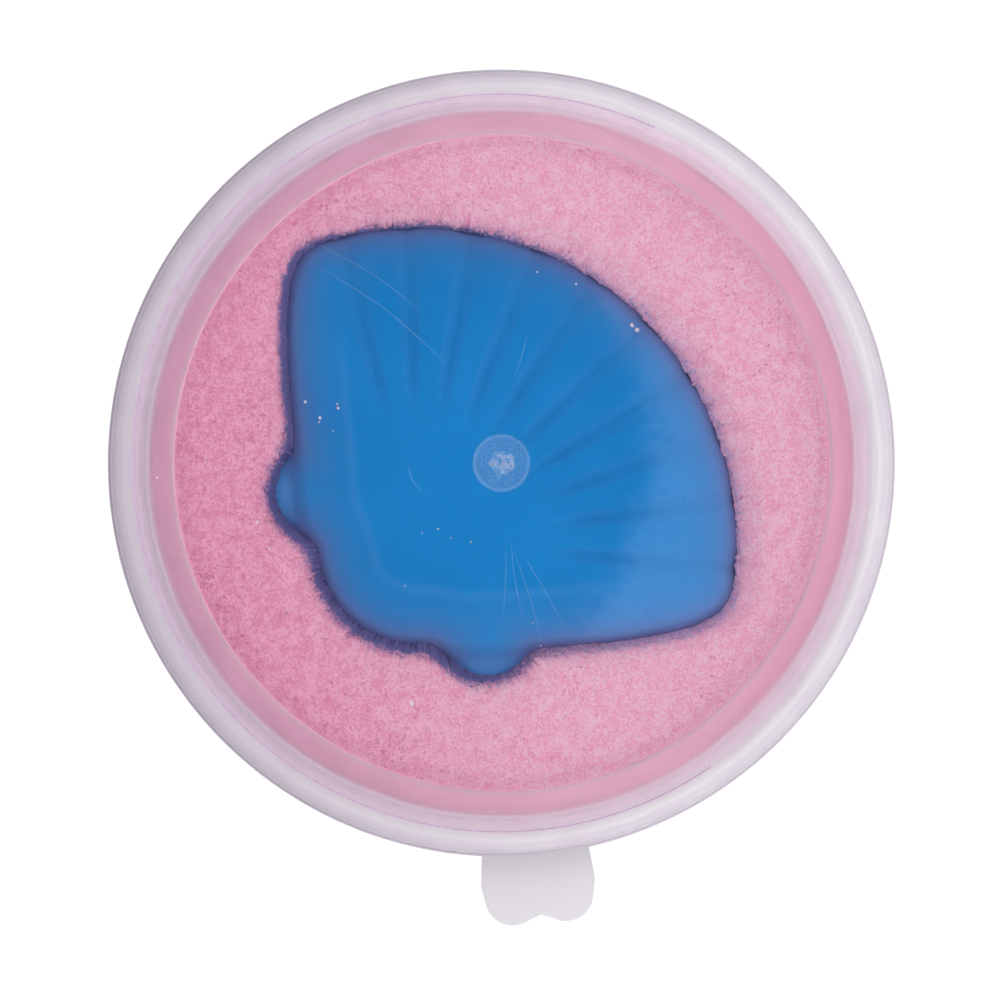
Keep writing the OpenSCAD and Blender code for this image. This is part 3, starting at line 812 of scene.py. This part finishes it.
def make_mould(plastic):
    """The shell mould: its inside, its open edge and its outside in one closed skin."""
    turns = rays(720)
    inner_edge = MOULD_WALL + BAND_STEP
    flat = inset_radii(turns, [0, EDGE / 2, BAND_STEP, inner_edge])
    edge, eased, stepped, inside = [flat[k] for k in range(4)]
    inner = surface_rings(turns, inner_edge, MOULD_WALL, 6, 30)
    outer = surface_rings(turns, BAND_STEP, 0, 9, 62)
    rings = inner[::-1] + [
        placed(inside, turns, 0), placed(eased, turns, 0), placed(edge, turns, EDGE / 2),
        placed(edge, turns, BAND_H - EDGE / 3), placed(stepped, turns, BAND_H + BAND_STEP / 2),
    ]
    bm = skinned(rings + outer, mould_shares(rings + outer))
    return finished("shell_mould", bm, [plastic], "mould", ["mould"], 60)


def make_moulded_sand(sand):
    """The lump that the mould has shaped, standing on the floor of the hole."""
    turns = rays(300)
    foot = MOULD_WALL + BAND_STEP + PRINT_GAP
    heights = [0, 1.0, 2.0, PRINT_H - 1] + [PRINT_H - 1 + math.sin(k * math.pi / 8) for k in range(1, 5)]
    insets = [foot] * 4 + [foot + 1 - math.cos(k * math.pi / 8) for k in range(1, 5)]
    radii = inset_radii(turns, insets)
    rings = [placed(0 * turns, turns, 0)]
    rings += [placed(r, turns, z) for r, z in zip(radii, heights)]
    rings += [placed(radii[-1] * (1 - k / 34), turns, PRINT_H) for k in range(1, 35)]
    for ring in rings[3:]:
        for p in ring:
            p[2] -= 0.25 * abs(rough(p, 1.6)) + 0.3 * max(rough(p, 5.0), 0)
    rings[-1][:] = rings[-1][0]
    bm = skinned(rings)
    return finished("moulded_sand_lump", bm, [sand], "tub", ["moulded_sand"], None)


def make_sand_bed(sand):
    """The sand in the tub, pressed flat by the lid, with the crumbly hole that the mould left."""
    turns = rays(SAND_RAYS)
    deep = SAND_TOP - SEAT_Z
    at_edge, beyond = inset_radii(turns, [0, -1])
    off = off_axis(turns)
    open_side = ramp(off, 56, 66)
    ragged = np.array([rough(p, 1.4, 2) + 1.2 * rough(p, 0.33, 2) for p in placed(at_edge, turns, 0)])
    whole = np.radians(turns + SHELL_TURN)
    to_right = np.maximum(np.cos(whole + math.radians(5)), 0)
    shown = ramp(to_right, 0.2, 0.7)
    dim = 1 - 0.45 * to_right
    gap = FAN_GAP * (1 - shown) * (1 - open_side) + SIDE_GAP * open_side
    gap += (TAIL_GAP - SIDE_GAP) * ramp(off, 112, 122)
    near, far_in = inset_radii(turns, [LIP_IN, LIP_IN + LIP_MORE])
    lip_r = near + (far_in - near) * (1 - shown) * (1 - 0.6 * open_side) - LIP_ROUGH * np.abs(ragged)
    lip_z = shell_z(lip_r, turns, 0, 0.0) + LIP_CLEAR
    sink = np.minimum(deep - lip_z - 0.05, FAN_SINK) * (1 - open_side)
    sink += np.minimum(0.5 * (deep - lip_z), SIDE_SINK) * open_side
    direction = np.stack([np.cos(whole), np.sin(whole)], axis=-1)
    centre = np.array(HINGE.xy)

    def hole(share):
        z = share * (lip_z - 0.5)
        lean = np.where(z > BAND_H, BAND_STEP + WALL_RUN * (z - BAND_H) / (MOULD_H - BAND_H), 0.0)
        grit = 0.05 * np.array([rough(p, 1.3, 3) for p in placed(at_edge, turns, z)])
        return placed(at_edge + (beyond - at_edge) * (HOLE_CLEAR + grit - lean), turns, z)

    def slope(share):
        away = at_edge + (beyond - at_edge) * gap
        r = lip_r + (away - lip_r) * share ** 0.8
        z = lip_z + (deep - sink - lip_z) * share
        crumble = [rough(p, 1.4, 2) + 1.2 * rough(p, 0.33, 2) for p in placed(away, turns, share * 2)]
        return placed(r + 0.34 * share * np.array(crumble), turns, z)

    def tub_wall(z):
        inside = wall_r(z) - SAND_FIT
        along = direction @ centre
        far = -along + np.sqrt(along * along - centre @ centre + inside * inside)
        ring = placed(far, turns, 0)
        ring[:, 2] = z
        return ring

    rings = [placed(0 * turns, turns, 0)] + [placed(at_edge * share, turns, 0) for share in (0.5, 0.95)]
    rings += [hole(k / 12) for k in range(13)]
    # The share read by the sand material: painted shade and blue reflected light beside the mould, full in the
    # hole, less on the slope to the right, fading away from the mould on the top.
    shares = [np.ones(SAND_RAYS) for _ in rings]
    for k in range(SLOPE_RINGS + 1):
        share = k / SLOPE_RINGS
        rings.append(slope(share))
        shares.append((1 - 0.4 * shown) * (1 - ramp(share, 0.3, 1.0)) + 0.5 * ramp(share, 0.3, 1.0))
    inner, outer = rings[-1].copy(), tub_wall(SAND_TOP)
    for k in range(1, SAND_RINGS + 1):
        ring = inner + (outer - inner) * (k / SAND_RINGS) ** 1.15
        away = np.hypot(*(ring - inner)[:, :2].T)
        reach = np.hypot(ring[:, 0], ring[:, 1])
        for p, d, r, low in zip(ring, away, reach, sink):
            p[2] = PANEL_LOW - 0.03 - sand_dip(p[0], p[1], d, r, low)
        rings.append(ring)
        shares.append(0.5 * np.exp(-((away * dim / BY_MOULD) ** 1.5)))
    rings += [tub_wall(SAND_TOP + (FLOOR_TOP + CORNER_FILLET - SAND_TOP) * k / 12) for k in range(1, 13)]
    corner = tub_wall(FLOOR_TOP + 0.02)
    corner[:, :2] *= 1 - CORNER_FILLET / wall_r(FLOOR_TOP)
    rings += [corner, np.full_like(corner, 0) + [HINGE.x, HINGE.y, FLOOR_TOP + 0.02]]
    shares += [np.zeros(SAND_RAYS)] * (len(rings) - len(shares))
    bm = skinned(rings, {"shade_by_mould": shares})
    return finished("sand_fill", bm, [sand], "tub", ["sand_bed"], 70)


def sand_dip(x, y, from_hole, reach, sink):
    """How far the sand's top lies below the panel: grains, pits, a soft edge that sinks towards the
    mould, and a looser ring."""
    grains = 0.05 * rough((x, y, 1), 0.5, 2)
    loose = 0.1 - 0.1 * float(ramp(x, -22, 0))
    pits = 0.5 * max(rough((x, y, 0), 1.1, 3) - 0.45 + loose, 0)
    edge = 0.3 * (1 - float(ramp(from_hole, 0, 0.6))) * (0.6 + 0.5 * rough((x, y, 5), 0.7))
    edge += sink * (1 - float(ramp(from_hole, 0, 3.0)))
    ring = float(ramp(reach, PANEL_R + 0.2, PANEL_R + 0.9))
    return grains + pits + edge - 0.3 * ring * (0.5 + rough((x, y, 3), 4.0))


def at_pixel(px, py, z):
    """The point of the photograph's pixel at a height, in millimetres from the tub's axis."""
    near = PIXEL_MM * (LIP_LOW + CAMERA_FAR - z) / CAMERA_FAR
    turn = math.radians(CAMERA_TURN)
    right, up = (px - TUB_PIXEL[0]) * near, (TUB_PIXEL[1] - py) * near
    x = right * math.cos(turn) - up * math.sin(turn)
    return Vector((x, right * math.sin(turn) + up * math.cos(turn), z))


def make_crumbs(name, spots, low, material, body):
    """Loose flat crumbs of dried sand at pixels of the photograph, each with its width."""
    bm = bmesh.new()
    for px, py, width in spots:
        made = bmesh.ops.create_icosphere(bm, subdivisions=2, radius=width / 2)
        place = at_pixel(px, py, low + CRUMB_T / 2)
        for vert in made["verts"]:
            swell = 1 + 0.45 * rough(vert.co + place * 3, width / 2, 2)
            vert.co = Vector((vert.co.x * swell, vert.co.y * swell, vert.co.z * CRUMB_T / width))
            vert.co = (vert.co + place) * MM
    return finished(name, bm, [material], body, (), None)


def make_threads(name, paths, thick, material, body):
    """Thin threads along paths of points in millimetres, such as the burr of a scratch."""
    data = bpy.data.curves.new(name, "CURVE")
    data.dimensions = "3D"
    data.bevel_depth = thick / 2 * MM
    data.bevel_resolution = 1
    data.use_fill_caps = True
    for path in paths:
        spline = data.splines.new("POLY")
        spline.points.add(len(path) - 1)
        for i, (point, p) in enumerate(zip(path, spline.points)):
            p.co = (*(Vector(point) * MM), 1.0)
            p.radius = math.sin(math.pi * (i + 0.5) / len(path)) ** 0.5
    drawn = bpy.data.objects.new(name, data)
    bpy.context.scene.collection.objects.link(drawn)
    bm = bmesh.new()
    bm.from_mesh(drawn.evaluated_get(bpy.context.evaluated_depsgraph_get()).to_mesh())
    bpy.data.objects.remove(drawn)
    return finished(name, bm, [material], body, (), 60)


def scratch(x0, y0, x1, y1, bend, z):
    """A scratch between two pixels of the photograph, bent to one side."""
    a, b = at_pixel(x0, y0, z), at_pixel(x1, y1, z)
    side = Vector((a.y - b.y, b.x - a.x, 0)).normalized()
    shares = [k / 15 for k in range(16)]
    return [
        a.lerp(b, t) + side * (bend * math.sin(math.pi * t) + 0.04 * rough(a.lerp(b, t), 1.5)) for t in shares
    ]


def make_floor():
    """A plain pale floor under the tub."""
    bm = bmesh.new()
    bmesh.ops.create_grid(bm, x_segments=1, y_segments=1, size=1.5)
    mesh = bpy.data.meshes.new("floor")
    bm.to_mesh(mesh)
    bm.free()
    made, tree = new_material("floor_matt_white")
    surface(tree, node(tree, "ShaderNodeBsdfPrincipled", Base_Color=(0.9, 0.9, 0.9, 1), Roughness=0.9))
    mesh.materials.append(made)
    floor = bpy.data.objects.new("floor", mesh)
    bpy.context.scene.collection.objects.link(floor)


def make_light():
    """A light tent, bright all round and brighter to the lower right, with a dark hole straight above."""
    scene = bpy.context.scene
    world = bpy.data.worlds.new("light_tent")
    scene.world = world
    world.use_nodes = True
    tree = world.node_tree
    tree.nodes.clear()
    where = node(tree, "ShaderNodeTexCoord")
    parts = node(tree, "ShaderNodeSeparateXYZ", {"Vector": where.outputs["Generated"]})
    hole = node(tree, "ShaderNodeMapRange", {"Value": parts.outputs["Z"]}, interpolation_type="SMOOTHSTEP")
    hole.inputs["From Min"].default_value = math.cos(math.radians(HOLE_SOFT))
    hole.inputs["From Max"].default_value = math.cos(math.radians(HOLE_DARK))
    hole.inputs["To Min"].default_value = 1.0
    hole.inputs["To Max"].default_value = 0.02
    across = node(tree, "ShaderNodeMath", {0: parts.outputs["X"]}, operation="MULTIPLY_ADD")
    across.inputs[1].default_value = 0.45
    across.inputs[2].default_value = TENT_LIGHT
    y = parts.outputs["Y"]
    down = node(tree, "ShaderNodeMath", {0: y, 2: across.outputs[0]}, operation="MULTIPLY_ADD")
    down.inputs[1].default_value = -0.3
    strength = {0: hole.outputs["Result"], 1: down.outputs[0]}
    power = node(tree, "ShaderNodeMath", strength, operation="MULTIPLY")
    back = node(tree, "ShaderNodeBackground", {"Strength": power.outputs[0]}, Color=(1.0, 1.0, 1.0, 1.0))
    output = tree.nodes.new("ShaderNodeOutputWorld")
    tree.links.new(back.outputs[0], output.inputs["Surface"])
    scene.view_settings.view_transform = "Standard"
    scene.cycles.max_bounces = 14
    scene.cycles.transmission_bounces = 12
    scene.cycles.diffuse_bounces = 5


def make_camera():
    """A camera straight above, framed and turned as the photograph is."""
    turn = math.radians(CAMERA_TURN)
    aside = (PHOTO_SIZE / 2 - TUB_PIXEL[0]) * PIXEL_MM
    below = (TUB_PIXEL[1] - PHOTO_SIZE / 2) * PIXEL_MM
    x = aside * math.cos(turn) - below * math.sin(turn)
    y = aside * math.sin(turn) + below * math.cos(turn)
    data = bpy.data.cameras.new("camera")
    data.sensor_width = 36.0
    data.lens = data.sensor_width * CAMERA_FAR / (PIXEL_MM * PHOTO_SIZE)
    data.clip_end = 10.0
    camera = bpy.data.objects.new("camera", data)
    camera.matrix_world = (
        Matrix.Translation((x * MM, y * MM, (LIP_LOW + CAMERA_FAR) * MM))
        @ Matrix.Rotation(turn, 4, "Z")
    )
    bpy.context.scene.collection.objects.link(camera)
    bpy.context.scene.camera = camera


CORE_TURNS = np.arange(0, 360, 1.5)
CORE = core_radii(CORE_TURNS)

make_camera()
make_light()
make_floor()
# The frosted lid and the ring round the panel are painted greyer to the left: painted shade.
frosted = polypropylene("polypropylene_frosted", "#DAD4DA", 0.35, 0.45, 0.06, "#BEB4C0")
sand = play_sand()
dried = plain_grains("play_sand_dried_pale", "#FBF3F2", "#EBD2D8")
dusty = plain_grains("play_sand_dried_on_lid", "#B9AAB0", "#A3909A")
make_tub(polypropylene("polypropylene_milky_tub", "#E4DCE8", 0.75, 0.4))
make_lid([
    frosted,
    polypropylene("polypropylene_polished_panel", "#FEFCFF", 1.0, 0.08),
    polypropylene("polypropylene_dulled_round_gate", "#F2FAFF", 0.965, 0.2),
    polypropylene("polypropylene_torn_gate", "#DEDDE8", 0.85, 0.5),
    polypropylene("polypropylene_ring_satin", "#FFF8FD", 0.96, 0.46, 0.0, "#F6ECF6"),
    # Painted shade: the colour of the thin dark line on the crown.
    plain_grains("painted_shade_line_in_a_crease", "#967E9A", "#A48DA8"),
    polypropylene("polypropylene_scuffed_gate", "#F8F8FC", 0.96, 0.35),
    polypropylene("polypropylene_ring_hazy", "#FFF2F9", 0.93, 0.42, 0.0, "#F0E4F0"),
    polypropylene("polypropylene_ring_milky", "#FDEAF4", 0.87, 0.42, 0.0, "#E0D0E0"),
    polypropylene("polypropylene_ring_whitish", "#F2DCE9", 0.68, 0.42, 0.0, "#C8B8C8"),
    polypropylene("polypropylene_pull_tab", "#C9C6CB", 0.35, 0.45),
    # Painted highlight along the panel's step.
    polypropylene("polypropylene_step_painted_highlight", "#D69EB4", 0.62, 0.5),
])
make_mould(mould_plastic())
make_moulded_sand(sand)
make_sand_bed(sand)
make_crumbs("crumbs_on_mould", MOULD_CRUMBS, PANEL_LOW - CRUMB_T - 0.01, dried, "mould")
make_crumbs("crumbs_on_sand", SAND_CRUMBS, PANEL_LOW - CRUMB_T - 0.01, dried, "tub")
make_crumbs("crumbs_on_lid", LID_CRUMBS, RING_FLOOR_TOP, dusty, "lid")
make_threads(
    "scratches_on_panel", [scratch(*line, PANEL_TOP) for line in SCRATCHES], SCRATCH_W,
    polypropylene("polypropylene_scratch_burr", "#F8F7FB", 0.85, 0.5), "lid",
)
